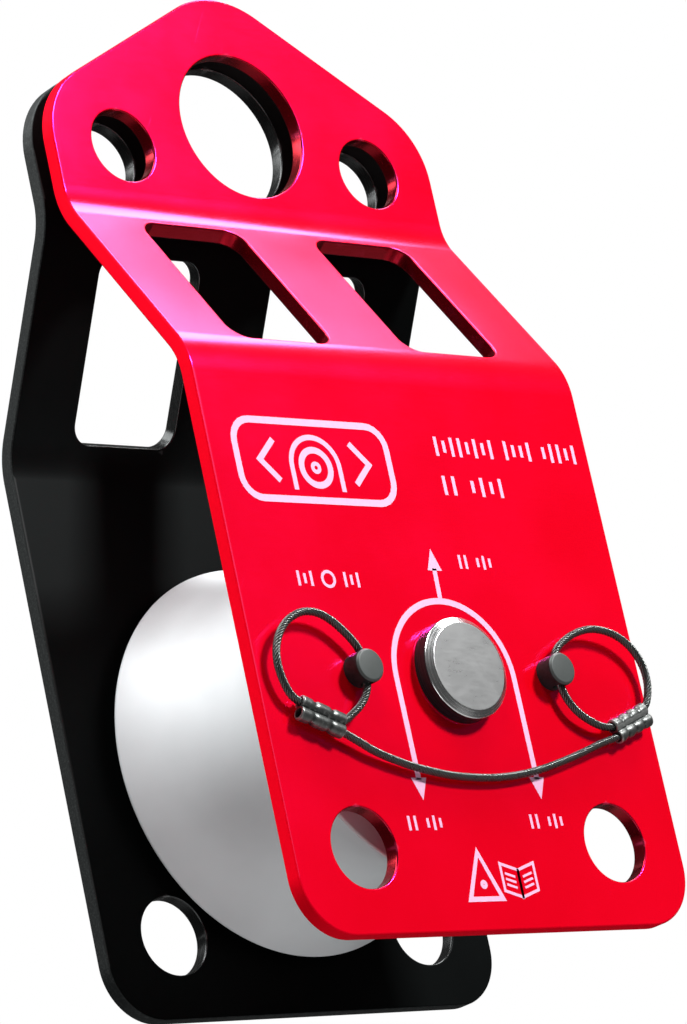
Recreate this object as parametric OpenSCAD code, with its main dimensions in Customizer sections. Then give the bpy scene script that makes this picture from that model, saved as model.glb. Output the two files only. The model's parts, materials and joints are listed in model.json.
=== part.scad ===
// Knot-passing rope pulley: two bent side plates that swing about one axle, a wide
// sheave on two sealed ball bearings, and two lock pins tied together by a wire lanyard.
// Frame: origin at the centre of the carabiner eye, +X to the right, -Y out of the
// front plate, +Z up. The axle lies along Y, below the origin.

/* [Side plates] */
// Width of each side plate
plate_w = 120; // [116:1:124]
// Thickness of each side plate
plate_t = 4; // [3.5:0.5:4.5]
// Distance from the carabiner eye's centre down to the axle
eye_to_axle = 151; // [148:1:156]
// Distance from the axle down to the bottom edge of the plates
axle_to_bottom = 61; // [60:1:66]
// Clear gap between the flat lower parts of the two plates
cheek_gap = 65.4; // [65.2:0.2:67]
// Clear gap between the two heads
head_gap = 4; // [2:0.5:6]
// Height above the axle where the outer faces start to lean inward
low_bend_h = 77; // [75:1:79]
// Height above the axle where the outer faces stand upright again
high_bend_h = 125.6; // [124:0.2:127]
// Inside radius of both bends
bend_r = 16; // [12:1:20]
// Radius of the bottom corners
corner_r = 14; // [10:1:16]
// Height of the head's peak above the eye's centre
peak_h = 34; // [32:1:38]
// Radius of the head's rounded peak
peak_r = 25; // [20:1:28]
// Radius of the head's two shoulders, round the side eyes
shoulder_r = 21; // [18:1:21]

/* [Holes in the plates] */
// Radius of the carabiner eye
eye_r = 18.8; // [17:0.2:20]
// Radius of the two side eyes in the head
side_eye_r = 9.2; // [8:0.2:10]
// Distance of each side eye from the middle
side_eye_x = 39; // [38:0.5:40]
// Depth of the side eyes below the carabiner eye's centre
side_eye_drop = 9; // [8:0.5:10]
// Radius of the two bottom holes
foot_hole_r = 9.4; // [8:0.2:10]
// Distance of each bottom hole from the middle
foot_hole_x = 39; // [38:0.5:42]
// Depth of the bottom holes below the axle
foot_hole_drop = 41; // [40:0.5:43]
// Width of each window in the leaning part
window_w = 30.5; // [26:0.5:31]
// Length of each window along the lean
window_l = 46; // [40:0.5:46]
// Distance of each window's centre from the middle
window_x = 26.75; // [26:0.25:28]
// Radius of the windows' corners
window_r = 5; // [3:0.5:7]

/* [Sheave] */
// Radius of the sheave at the bottom of the tread
tread_r = 38; // [36:0.5:39]
// Radius of the sheave's rims
rim_r = 48.5; // [47:0.5:49]
// Width of the sheave over its rims
sheave_w = 58; // [56:0.5:58]
// Width of the flat land on each rim
rim_land = 0.8; // [0.4:0.2:1.6]
// Outer radius of the ring-shaped recess in each side
recess_r = 36; // [34.5:0.5:36]
// Inner radius of the ring-shaped recess, which is the hub's radius
hub_r = 24.5; // [24:0.5:25.5]
// Depth of the recess
recess_d = 9; // [8:0.5:9.5]
// Number of lock holes in the floor of the front recess
lock_holes = 6; // [2:2:8]
// Depth of each lock hole
lock_hole_d = 8; // [6:0.5:9]

/* [Axle and bearings] */
// Radius of the axle's shaft
axle_r = 8.5; // [8.5:0.5:8.5]
// Radius of the axle's head and of its rear collar
axle_head_r = 12.3; // [11.8:0.1:13]
// Height of the axle's head above the plate
axle_head_h = 5; // [4:0.5:6]
// Chamfer on the axle's head, measured along the radius
head_chamfer = 1.7; // [1:0.1:2]
// Outer radius of the plain bush in each plate
bush_r = 10.4; // [9.8:0.1:10.8]
// Outer radius of each ball bearing
bearing_r = 20; // [20:0.5:20]
// Width of each ball bearing
bearing_w = 12; // [12:0.5:12]
// Distance of each bearing's middle from the middle of the axle
bearing_y = 20; // [19:0.5:20]
// Number of balls in each bearing
ball_count = 8; // [6:1:8]
// Radius of each ball
ball_r = 3.375; // [3:0.125:3.375]

/* [Lock pins] */
// Distance of each lock pin from the axle
pin_x = 30; // [29:0.5:31]
// Radius of a lock pin's head
pin_head_r = 4; // [3.6:0.1:4.5]
// Height of a lock pin's head above the plate
pin_head_h = 5; // [4.8:0.1:6]
// Radius of a lock pin's shank
pin_shank_r = 3; // [2.8:0.1:3.1]
// Distance from the sheave's middle to the tip of a pin that is home
pin_tip_y = 22; // [21.6:0.2:24]

/* [Wire lanyard] */
// Diameter of the wire rope
wire_d = 1.9; // [1.4:0.1:2.1]
// Length of each crimped ferrule
ferrule_l = 12.4; // [10:0.2:13]
// Radius of each of a ferrule's two barrels
barrel_r = 1.7; // [1.5:0.1:1.8]
// Height of the ferrules above the plate
ferrule_h = 2.4; // [2.2:0.1:2.8]

/* [Hidden] */

$fn = 96;
front = -1;
rear = 1;
left = -1;
right = 1;
cut = 1;
running_fit = 0.05;
side_play = 0.1;

// Side plates
cheek_in = cheek_gap / 2;
cheek_out = cheek_in + plate_t;
head_in = head_gap / 2;
head_out = head_in + plate_t;
lean = atan((cheek_out - head_out) / (high_bend_h - low_bend_h));
low_tangent = (bend_r + plate_t) * tan(lean / 2);
high_tangent = bend_r * tan(lean / 2);
low_flat_top = low_bend_h - low_tangent;
head_flat_bottom = high_bend_h + high_tangent;
peak_z = eye_to_axle + peak_h - peak_r;
side_eye_z = eye_to_axle - side_eye_drop;
side_run = sqrt(pow(side_eye_x, 2) + pow(peak_z - side_eye_z, 2));
slope_a = acos((peak_r - shoulder_r) / side_run) - atan((peak_z - side_eye_z) / side_eye_x);
arc_step = 3;

// Axle stack, as distances from the middle of the axle
head_base_y = cheek_out + side_play;
head_face_y = head_base_y + axle_head_h;
washer_t = 1.5;
washer_r = 15;
washer_out_y = cheek_in - side_play;
washer_in_y = washer_out_y - washer_t;
bearing_in_y = bearing_y - bearing_w / 2;
bearing_out_y = bearing_y + bearing_w / 2;
sleeve_r = 11.8;
spacer_tube_r = 11.5;

// Ball bearing
pitch_r = (axle_r + bearing_r) / 2;
inner_ring_r = 12.2;
outer_ring_bore_r = 16.3;
race_r = ball_r + 2 * running_fit;
cage_bore_r = 13.1;
cage_r = 15.4;
cage_half_w = 3.8;
cage_pocket_r = ball_r + 0.125;
seal_t = 0.9;
seal_inset = 0.1;
seal_bore_r = inner_ring_r + 2 * running_fit;

// Sheave
sheave_half = sheave_w / 2;
tread_half = sheave_half - rim_land;
rim_rise = rim_r - tread_r;
tread_arc_r = (pow(tread_half, 2) + pow(rim_rise, 2)) / (2 * rim_rise);
rim_chamfer = 0.6;
shoulder_bore_r = 17.5;
lock_hole_r = pin_shank_r + 0.3;
circlip_t = 1.5;
circlip_in_r = 18.4;
circlip_out_r = bearing_r + 1;
circlip_lug_r = 1.9;
circlip_eye_r = 0.8;
circlip_lug_a = 22;
circlip_gap_a = 12;
circlip_lug_overlap = 2;

// Lock pins
pin_bore_r = pin_shank_r + running_fit;
pin_cross_hole_r = 1.7;
pin_wire_h = 2.7;
pin_chamfer = 0.5;
pin_tip_chamfer = 0.8;
grip_ring_r = 0.5;
grip_ring_mid_r = pin_shank_r - grip_ring_r;
grip_ring_y = cheek_in + plate_t / 2;

// Wire lanyard. Each route is a list of [x, height above the plate, z], with x and z
// measured from the axle.
wire_r = wire_d / 2;
wire_sides = 8;
straight_l = 0.9;
barrel_offset = 1.35;
left_ferrule_at = [-45.9, -11.6];
left_ferrule_a = -21;
right_ferrule_at = [50.6, -12.6];
right_ferrule_a = 21;
// A ferrule's barrels, as signs of their offset: the loop and its leg share the upper
// side, and the lanyard leaves from the lower side.
upper = 1;
lower = -1;
left_loop_mid = [
  [-53.6, 2.6, -6.4], [-55.1, 2.8, -3.2], [-55.8, 3.0, 0.6], [-55.2, 3.2, 4.6],
  [-53.2, 3.4, 8.2], [-49.9, 3.5, 11.0], [-45.7, 3.5, 12.6], [-41.4, 3.4, 12.5],
  [-37.4, 3.1, 10.9], [-34.0, 2.9, 8.3], [-31.6, 2.8, 5.8], [-30.3, 2.7, 3.4],
  [-30.0, 2.7, 0.0], [-30.2, 2.7, -3.4], [-31.4, 2.7, -6.4], [-33.6, 2.6, -8.9],
  [-36.4, 2.5, -10.9]
];
right_loop_mid = [
  [57.9, 2.6, -6.8], [59.1, 2.8, -2.6], [58.6, 3.0, 1.6], [56.2, 3.2, 5.6],
  [52.4, 3.4, 8.4], [48.0, 3.5, 9.9], [43.4, 3.4, 10.3], [38.8, 3.1, 9.4],
  [34.8, 2.9, 7.6], [31.8, 2.8, 5.6], [30.3, 2.7, 3.4], [30.0, 2.7, 0.0],
  [30.2, 2.7, -3.4], [31.3, 2.7, -6.8], [33.6, 2.7, -9.8], [37.0, 2.6, -12.0],
  [40.8, 2.5, -13.4]
];
lanyard_mid = [
  [-36.4, 2.2, -17.1], [-32.6, 2.0, -19.0], [-28.4, 1.8, -20.6], [-24.0, 1.7, -22.0],
  [-19.4, 1.6, -23.2], [-14.6, 1.6, -24.2], [-9.6, 1.6, -25.0], [-4.6, 1.6, -25.4],
  [0.6, 1.6, -25.6], [5.8, 1.6, -25.5], [11.0, 1.6, -25.0], [16.2, 1.6, -24.2],
  [21.2, 1.6, -23.1], [26.2, 1.7, -21.8], [31.0, 1.8, -20.4], [35.6, 2.0, -18.9],
  [39.8, 2.2, -17.5]
];

// ---- Shared shapes ----

// Moves its children from the axle's own frame to the part's frame.
module at_axle() translate([0, 0, -eye_to_axle]) children();

// Turns a shape that stands along +Z so that it lies along +Y.
module lay_along_y() rotate([-90, 0, 0]) children();

// Mirrors a shape made on the rear side to the side that is asked for.
module on_side(side) {
  if (side == rear) children();
  else mirror([0, 1, 0]) children();
}

// A disc about the Y axis, between two distances along Y.
module disc(r, y0, y1) translate([0, y0, 0]) lay_along_y() cylinder(r = r, h = y1 - y0);

// A ring about the Y axis.
module ring(r_out, r_in, y0, y1) {
  difference() {
    disc(r_out, y0, y1);
    disc(r_in, y0 - cut, y1 + cut);
  }
}

// Points of an arc, for an outline.
function arc(centre, r, a0, a1) =
  let (n = max(1, round(abs(a1 - a0) / arc_step)))
  [for (i = [0 : n]) let (a = a0 + (a1 - a0) * i / n) centre + r * [cos(a), sin(a)]];

// ---- Side plates ----

// The plate's outline as seen from the front, with the axle at the origin.
function plate_outline() = concat(
  arc([plate_w / 2 - corner_r, corner_r - axle_to_bottom], corner_r, -90, 0),
  [[plate_w / 2, side_eye_z]],
  arc([side_eye_x, side_eye_z], shoulder_r, 0, slope_a),
  arc([0, peak_z], peak_r, slope_a, 180 - slope_a),
  arc([-side_eye_x, side_eye_z], shoulder_r, 180 - slope_a, 180),
  [[-plate_w / 2, side_eye_z]],
  arc([corner_r - plate_w / 2, corner_r - axle_to_bottom], corner_r, 180, 270)
);

// The bent sheet seen from the side, on the rear side: x is the distance from the middle.
module sheet_profile() {
  low_centre = [cheek_in - bend_r, low_flat_top];
  high_centre = [head_out + bend_r, head_flat_bottom];
  top = eye_to_axle + peak_h;
  polygon(concat(
    [[cheek_out, -axle_to_bottom]],
    arc(low_centre, bend_r + plate_t, 0, lean),
    arc(high_centre, bend_r, 180 + lean, 180),
    [[head_out, top], [head_in, top]],
    arc(high_centre, bend_r + plate_t, 180, 180 + lean),
    arc(low_centre, bend_r, lean, 0),
    [[cheek_in, -axle_to_bottom]]
  ));
}

module bent_sheet() {
  rotate([90, 0, 90]) linear_extrude(plate_w, center = true) sheet_profile();
}

// One window, cut square to the leaning part. Its centre is halfway up the lean.
module window_cut(side_x) {
  lean_mid = (low_bend_h + high_bend_h) / 2;
  body_w = window_w - 2 * window_r;
  body_l = window_l - 2 * window_r;
  translate([side_x * window_x, (cheek_out + head_out) / 2, lean_mid])
    rotate([90 + lean, 0, 0])
      linear_extrude(4 * plate_t, center = true) {
        square([window_w, body_l], center = true);
        square([body_w, window_l], center = true);
        for (i = [-1, 1], j = [-1, 1])
          translate([i * body_w / 2, j * body_l / 2]) circle(r = window_r);
      }
}

// A hole through one plate, along Y.
module plate_hole(x, z, r) translate([x, 0, z]) disc(r, head_in - cut, cheek_out + cut);

// One bent side plate with its eyes, windows, bush seat and bottom holes.
module side_plate() {
  difference() {
    intersection() {
      bent_sheet();
      lay_along_y() mirror([0, 1, 0]) linear_extrude(cheek_out + cut) polygon(plate_outline());
    }
    plate_hole(0, eye_to_axle, eye_r);
    plate_hole(0, 0, bush_r);
    for (s = [left, right]) {
      plate_hole(s * side_eye_x, side_eye_z, side_eye_r);
      plate_hole(s * foot_hole_x, -foot_hole_drop, foot_hole_r);
      window_cut(s);
    }
  }
}

module rear_plate() {
  color([0.07, 0.07, 0.08]) at_axle() side_plate();
}

module front_plate() {
  color([0.85, 0.04, 0.09]) at_axle() difference() {
    on_side(front) side_plate();
    for (s = [left, right])
      translate([s * pin_x, 0, 0]) on_side(front) disc(pin_bore_r, cheek_in - cut, cheek_out + cut);
  }
}

// A plain bush pressed into the plate, which turns on the axle.
module plate_bush(side) {
  color([0.72, 0.55, 0.30]) at_axle() on_side(side)
    ring(bush_r, axle_r + running_fit, cheek_in, cheek_out);
}

// ---- Axle ----

// A chamfered round head, standing out from distance y0 to y1.
module axle_button(y0, y1) {
  translate([0, y0, 0]) lay_along_y() rotate_extrude() polygon([
    [0, 0], [axle_head_r, 0], [axle_head_r, y1 - y0 - head_chamfer * 0.7],
    [axle_head_r - head_chamfer, y1 - y0], [0, y1 - y0]
  ]);
}

module axle() {
  color([0.62, 0.63, 0.65]) at_axle() {
    on_side(front) axle_button(head_base_y, head_face_y);
    disc(axle_r, -head_base_y - cut, head_face_y);
  }
}

module axle_rear_collar() {
  color([0.60, 0.61, 0.63]) at_axle() difference() {
    axle_button(head_base_y, head_face_y);
    disc(axle_r, head_base_y - cut, head_face_y + cut);
  }
}

module bearing_spacer_tube() {
  color([0.55, 0.56, 0.58]) at_axle() ring(spacer_tube_r, axle_r, -bearing_in_y, bearing_in_y);
}

module thrust_washer(side) {
  color([0.72, 0.55, 0.30]) at_axle() on_side(side)
    ring(washer_r, axle_r, washer_in_y, washer_out_y);
}

module spacer_sleeve(side) {
  color([0.55, 0.56, 0.58]) at_axle() on_side(side)
    ring(sleeve_r, axle_r, bearing_out_y, washer_in_y);
}

// ---- Ball bearings ----

// The ring-shaped space that the balls run in.
module ball_race() {
  translate([0, bearing_y, 0]) lay_along_y() rotate_extrude() translate([pitch_r, 0]) circle(r = race_r);
}

module bearing_inner_ring(side) {
  color([0.75, 0.76, 0.78]) at_axle() on_side(side) difference() {
    ring(inner_ring_r, axle_r, bearing_in_y, bearing_out_y);
    ball_race();
  }
}

module bearing_outer_ring(side) {
  color([0.75, 0.76, 0.78]) at_axle() on_side(side) difference() {
    ring(bearing_r, outer_ring_bore_r, bearing_in_y, bearing_out_y);
    ball_race();
  }
}

// The two rubber seals of one bearing.
module bearing_seals(side) {
  inboard = bearing_in_y + seal_inset;
  outboard = bearing_out_y - seal_inset - seal_t;
  color([0.10, 0.10, 0.11]) at_axle() on_side(side)
    for (y = [inboard, outboard])
      ring(outer_ring_bore_r, seal_bore_r, y, y + seal_t);
}

// Places one child for each ball of a bearing.
module at_each_ball() {
  for (i = [0 : ball_count - 1])
    rotate([0, i * 360 / ball_count, 0]) translate([pitch_r, bearing_y, 0]) children();
}

module bearing_balls(side) {
  color([0.85, 0.86, 0.88]) at_axle() on_side(side) at_each_ball() sphere(r = ball_r);
}

module bearing_cage(side) {
  color([0.70, 0.60, 0.35]) at_axle() on_side(side) difference() {
    ring(cage_r, cage_bore_r, bearing_y - cage_half_w, bearing_y + cage_half_w);
    at_each_ball() rotate([0, 90, 0]) cylinder(r = cage_pocket_r, h = 2 * ball_r, center = true);
  }
}

// ---- Sheave ----

// Half of the sheave's section: x is the radius and y is along the axle.
module sheave_section() {
  difference() {
    polygon([
      [shoulder_bore_r, -sheave_half], [rim_r - rim_chamfer, -sheave_half],
      [rim_r, rim_chamfer - sheave_half], [rim_r, sheave_half - rim_chamfer],
      [rim_r - rim_chamfer, sheave_half], [shoulder_bore_r, sheave_half]
    ]);
    translate([tread_r + tread_arc_r, 0]) circle(r = tread_arc_r);
  }
}

// What is taken out of one side of the sheave, apart from the lock holes.
module sheave_side_cuts() {
  disc(bearing_r, bearing_in_y, sheave_half + cut);
  disc(circlip_out_r + side_play, bearing_out_y, bearing_out_y + circlip_t);
  ring(recess_r, hub_r, sheave_half - recess_d, sheave_half + cut);
}

module sheave() {
  floor_y = sheave_half - recess_d;
  color([0.80, 0.81, 0.82]) at_axle() difference() {
    lay_along_y() rotate_extrude() sheave_section();
    sheave_side_cuts();
    on_side(front) sheave_side_cuts();
    for (i = [0 : lock_holes - 1])
      rotate([0, i * 360 / lock_holes, 0]) translate([pin_x, 0, 0])
        on_side(front) disc(lock_hole_r, floor_y - lock_hole_d, floor_y + cut);
  }
}

// A spring ring with a gap and two lugs, which holds a bearing in the hub.
module circlip(side) {
  y0 = bearing_out_y;
  y1 = bearing_out_y + circlip_t;
  lug_at = circlip_in_r + circlip_lug_r - circlip_lug_overlap;
  gap_reach = 2 * bearing_r;
  color([0.35, 0.36, 0.38]) at_axle() on_side(side) difference() {
    union() {
      ring(circlip_out_r, circlip_in_r, y0, y1);
      for (a = [-circlip_lug_a, circlip_lug_a])
        rotate([0, a - 90, 0]) translate([lug_at, 0, 0]) disc(circlip_lug_r, y0, y1);
    }
    for (a = [-circlip_lug_a, circlip_lug_a])
      rotate([0, a - 90, 0]) translate([lug_at, 0, 0]) disc(circlip_eye_r, y0 - cut, y1 + cut);
    translate([0, y0 - cut, 0]) lay_along_y() linear_extrude(circlip_t + 2 * cut)
      polygon([[0, 0], gap_reach * [-sin(circlip_gap_a), -cos(circlip_gap_a)],
        gap_reach * [sin(circlip_gap_a), -cos(circlip_gap_a)]]);
  }
}

// ---- Lock pins ----

module lock_pin(s) {
  tip_l = cheek_out - pin_tip_y;
  color([0.30, 0.31, 0.33]) at_axle() translate([s * pin_x, 0, 0]) on_side(front) difference() {
    translate([0, cheek_out, 0]) lay_along_y() rotate_extrude() polygon([
      [0, -tip_l], [pin_shank_r - pin_tip_chamfer, -tip_l], [pin_shank_r, pin_tip_chamfer - tip_l],
      [pin_shank_r, 0], [pin_head_r, 0], [pin_head_r, pin_head_h - pin_chamfer],
      [pin_head_r - pin_chamfer, pin_head_h], [0, pin_head_h]
    ]);
    ring(pin_head_r, grip_ring_mid_r - grip_ring_r,
      grip_ring_y - 2 * grip_ring_r, grip_ring_y + 2 * grip_ring_r);
    translate([0, cheek_out + pin_wire_h, 0])
      cylinder(r = pin_cross_hole_r, h = 4 * pin_head_r, center = true);
  }
}

// The rubber ring that holds a pin in the plate by friction.
module grip_ring(s) {
  color([0.06, 0.06, 0.06]) at_axle() translate([s * pin_x, 0, 0]) on_side(front)
    translate([0, grip_ring_y, 0]) lay_along_y() rotate_extrude()
      translate([grip_ring_mid_r, 0]) circle(r = grip_ring_r);
}

// ---- Wire lanyard ----

// Where a wire leaves a barrel: the middle of the barrel's end face, then a short way straight out.
// along is -1 for the ferrule's left end and 1 for its right end.
function leaving(at, a, along, barrel) =
  [for (out = [0, straight_l])
    let (
      run = along * (ferrule_l / 2 + out) * [cos(a), sin(a)],
      off = barrel * barrel_offset * [-sin(a), cos(a)]
    )
    [at[0] + run[0] + off[0], ferrule_h, at[1] + run[1] + off[1]]];

// The same two points for a wire that enters the barrel there.
function entering(at, a, along, barrel) = let (p = leaving(at, a, along, barrel)) [p[1], p[0]];

function unit(v) = v / norm(v);

// The direction of a route at point i.
function heading(p, i) = unit(p[min(i + 1, len(p) - 1)] - p[max(i - 1, 0)]);

// The two directions across a route that lies nearly flat on the plate.
function across(t) = unit(cross([0, 1, 0], t));
function above(t) = cross(t, across(t));

// A round tube along a route, as one closed polyhedron.
module tube(route) {
  p = [for (q = route) [q[0], -cheek_out - q[1], q[2]]];
  n = len(p);
  rings = [for (i = [0 : n - 1], k = [0 : wire_sides - 1])
    let (t = heading(p, i), a = 360 * k / wire_sides)
    p[i] + wire_r * (cos(a) * across(t) + sin(a) * above(t))];
  walls = [for (i = [0 : n - 2], k = [0 : wire_sides - 1])
    let (k2 = (k + 1) % wire_sides, a = i * wire_sides)
    [a + k, a + k2, a + wire_sides + k2, a + wire_sides + k]];
  first_cap = [for (k = [wire_sides - 1 : -1 : 0]) k];
  last_cap = [for (k = [0 : wire_sides - 1]) (n - 1) * wire_sides + k];
  polyhedron(rings, concat(walls, [first_cap, last_cap]));
}

module left_wire_loop() {
  color([0.45, 0.46, 0.47]) at_axle() tube(concat(
    leaving(left_ferrule_at, left_ferrule_a, -1, upper),
    left_loop_mid,
    entering(left_ferrule_at, left_ferrule_a, 1, upper)
  ));
}

module right_wire_loop() {
  color([0.45, 0.46, 0.47]) at_axle() tube(concat(
    leaving(right_ferrule_at, right_ferrule_a, 1, upper),
    right_loop_mid,
    entering(right_ferrule_at, right_ferrule_a, -1, upper)
  ));
}

module lanyard_wire() {
  color([0.45, 0.46, 0.47]) at_axle() tube(concat(
    leaving(left_ferrule_at, left_ferrule_a, 1, lower),
    lanyard_mid,
    entering(right_ferrule_at, right_ferrule_a, -1, lower)
  ));
}

// A double-barrelled sleeve, crimped on the wire.
module ferrule(at, a) {
  color([0.55, 0.56, 0.56]) at_axle()
    translate([at[0], -cheek_out - ferrule_h, at[1]]) rotate([0, -a, 0]) rotate([0, 90, 0]) {
      for (b = [lower, upper])
        translate([b * barrel_offset, 0, 0]) cylinder(r = barrel_r, h = ferrule_l, center = true);
      cube([2 * barrel_offset, barrel_r, ferrule_l], center = true);
    }
}

rear_plate();
plate_bush(rear);  // rear_plate_bush
axle();
axle_rear_collar();
bearing_spacer_tube();
thrust_washer(front);  // front_thrust_washer
thrust_washer(rear);  // rear_thrust_washer
spacer_sleeve(front);  // front_spacer_sleeve
spacer_sleeve(rear);  // rear_spacer_sleeve
bearing_inner_ring(front);  // front_bearing_inner_ring
bearing_inner_ring(rear);  // rear_bearing_inner_ring
sheave();
bearing_outer_ring(front);  // front_bearing_outer_ring
bearing_outer_ring(rear);  // rear_bearing_outer_ring
bearing_seals(front);  // front_bearing_seals
bearing_seals(rear);  // rear_bearing_seals
circlip(front);  // front_circlip
circlip(rear);  // rear_circlip
bearing_balls(front);  // front_bearing_balls
bearing_balls(rear);  // rear_bearing_balls
bearing_cage(front);  // front_bearing_cage
bearing_cage(rear);  // rear_bearing_cage
front_plate();
plate_bush(front);  // front_plate_bush
lanyard_wire();
lock_pin(left);  // left_lock_pin
lock_pin(right);  // right_lock_pin
grip_ring(left);  // left_grip_ring
grip_ring(right);  // right_grip_ring
left_wire_loop();
right_wire_loop();
ferrule(left_ferrule_at, left_ferrule_a);  // left_ferrule
ferrule(right_ferrule_at, right_ferrule_a);  // right_ferrule
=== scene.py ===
"""Looks of a knot-passing rope pulley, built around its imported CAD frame. Units are metres.

The frame's origin is the centre of the carabiner eye: +X to the right, -Y out of the red
plate and +Z up. "Above the axle" means a height measured from the axle's own axis.
"""
import json
import math

import bmesh
import bpy
from mathutils import Matrix, Vector
from mathutils.geometry import delaunay_2d_cdt


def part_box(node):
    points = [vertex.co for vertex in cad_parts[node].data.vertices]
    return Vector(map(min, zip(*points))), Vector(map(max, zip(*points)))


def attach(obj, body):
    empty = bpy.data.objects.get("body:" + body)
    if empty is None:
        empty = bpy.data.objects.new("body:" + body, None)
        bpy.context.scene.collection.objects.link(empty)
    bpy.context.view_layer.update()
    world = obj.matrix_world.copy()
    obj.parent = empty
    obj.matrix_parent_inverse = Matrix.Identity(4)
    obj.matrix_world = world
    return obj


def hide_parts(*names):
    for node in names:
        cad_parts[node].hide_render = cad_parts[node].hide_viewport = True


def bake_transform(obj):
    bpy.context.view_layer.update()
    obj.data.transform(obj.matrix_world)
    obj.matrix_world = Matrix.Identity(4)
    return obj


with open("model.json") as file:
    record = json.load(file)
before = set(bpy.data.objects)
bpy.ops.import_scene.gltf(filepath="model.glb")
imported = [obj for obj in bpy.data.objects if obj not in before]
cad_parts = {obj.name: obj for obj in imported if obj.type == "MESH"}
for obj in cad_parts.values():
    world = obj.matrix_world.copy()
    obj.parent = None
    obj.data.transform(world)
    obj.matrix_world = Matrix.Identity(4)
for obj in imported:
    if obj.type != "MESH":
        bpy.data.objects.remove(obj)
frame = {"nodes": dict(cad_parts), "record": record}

MM = 0.001
FRONT, REAR = -1, 1
LEFT, RIGHT = -1, 1
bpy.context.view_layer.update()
MOUNTS = {m["name"]: m for m in frame["record"]["mounts"]}

# ---- Sizes read from the frame ----

AXLE_LOW, AXLE_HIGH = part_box("axle")
AXLE_Z = (AXLE_LOW.z + AXLE_HIGH.z) / 2
AXLE_HEAD_R = (AXLE_HIGH.z - AXLE_LOW.z) / 2
AXLE_FACE_Y = AXLE_HIGH.y
PLATE_LOW, PLATE_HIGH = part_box("front_plate")
HALF_W = PLATE_HIGH.x
CHEEK_OUT = -PLATE_LOW.y
HEAD_IN = -PLATE_HIGH.y
PLATE_TOP = PLATE_HIGH.z - AXLE_Z
PLATE_BOTTOM = PLATE_LOW.z - AXLE_Z
SHEAVE_LOW, SHEAVE_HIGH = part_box("sheave")
RIM_R = (SHEAVE_HIGH.z - SHEAVE_LOW.z) / 2
SHEAVE_HALF = SHEAVE_HIGH.y
PIN_LOW, PIN_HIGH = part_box("right_lock_pin")
PIN_X = (PIN_LOW.x + PIN_HIGH.x) / 2
PIN_HEAD_R = (PIN_HIGH.x - PIN_LOW.x) / 2
COLLAR_LOW, COLLAR_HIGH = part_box("axle_rear_collar")

# ---- Sizes that the CAD source sets ----

SHEET_T = 4 * MM
BEND_R = 16 * MM
LOW_BEND = 77 * MM
HIGH_BEND = 125.6 * MM
CORNER_R = 14 * MM
PEAK_R = 25 * MM
SHOULDER_R = 21 * MM
WINDOW_W = 30.5 * MM
WINDOW_L = 46 * MM
WINDOW_X = 26.75 * MM
WINDOW_R = 5 * MM
EDGE_R = 0.5 * MM
BUSH_R = 10.4 * MM
AXLE_R = 8.5 * MM
TREAD_R = 38 * MM
RIM_LAND = 0.8 * MM
PIN_SHANK_R = 3 * MM
PIN_BORE_R = 3.05 * MM
PIN_CROSS_R = 1.7 * MM
PIN_WIRE_H = 2.7 * MM
LOCK_HOLES = 6
LOCK_HOLE_R = 3.3 * MM
LOCK_HOLE_Y = -16 * MM
LOCK_HOLE_L = 9 * MM
WIRE_R = 0.95 * MM
BARREL_R = 1.7 * MM
BARREL_OFFSET = 1.35 * MM
FERRULE_L = 12.4 * MM
FERRULE_H = 2.4 * MM
FERRULE_BORE_R = 1.15 * MM

CHEEK_IN = CHEEK_OUT - SHEET_T
HEAD_OUT = HEAD_IN + SHEET_T
LEAN = math.atan2(CHEEK_OUT - HEAD_OUT, HIGH_BEND - LOW_BEND)
LEAN_L = (HIGH_BEND - LOW_BEND) / math.cos(LEAN)
LOW_TANGENT = (BEND_R + SHEET_T) * math.tan(LEAN / 2)
HIGH_TANGENT = BEND_R * math.tan(LEAN / 2)
HEAD_FLAT = HIGH_BEND + HIGH_TANGENT

# Stations along the flat sheet, before it is bent: each bend's start and end.
BEND_L = (BEND_R + SHEET_T / 2) * LEAN
S1 = LOW_BEND - LOW_TANGENT
S2 = S1 + BEND_L
S3 = S2 + LEAN_L - LOW_TANGENT - HIGH_TANGENT
S4 = S3 + BEND_L


# ---- Small tools ----


def on_axle(x, y, z):
    """A point given from the axle's axis, in the part's frame."""
    return Vector((x, y, z + AXLE_Z))


def finish_piece(name, bm, materials, body, replaced=(), smooth_angle=40, normals=None):
    """Turns a bmesh into a named piece that rides on a body, if one is given.

    normals gives each vertex its own shading normal. Otherwise big faces bend the shading most.
    """
    bm.normal_update()
    bmesh.ops.recalc_face_normals(bm, faces=bm.faces)
    mesh = bpy.data.meshes.new(name)
    bm.to_mesh(mesh)
    bm.free()
    for material in materials:
        mesh.materials.append(material)
    mesh.shade_smooth()
    obj = bpy.data.objects.new(name, mesh)
    bpy.context.scene.collection.objects.link(obj)
    if normals:
        mesh.normals_split_custom_set_from_vertices(normals)
    else:
        mesh.set_sharp_from_angle(angle=math.radians(smooth_angle))
        weighted = obj.modifiers.new("weighted_normals", "WEIGHTED_NORMAL")
        weighted.keep_sharp = True
    if body:
        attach(obj, body)
    if replaced:
        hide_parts(*replaced)
    return obj


def arc(cx, cy, r, a0, a1, step=4):
    """Points of an arc, in degrees, with both ends."""
    n = max(1, round(abs(a1 - a0) / step))
    angles = [math.radians(a0 + (a1 - a0) * i / n) for i in range(n + 1)]
    return [(cx + r * math.cos(a), cy + r * math.sin(a)) for a in angles]


def circle(cx, cy, r, n=96):
    return arc(cx, cy, r, 0, 360, 360 / n)[:-1]


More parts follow.
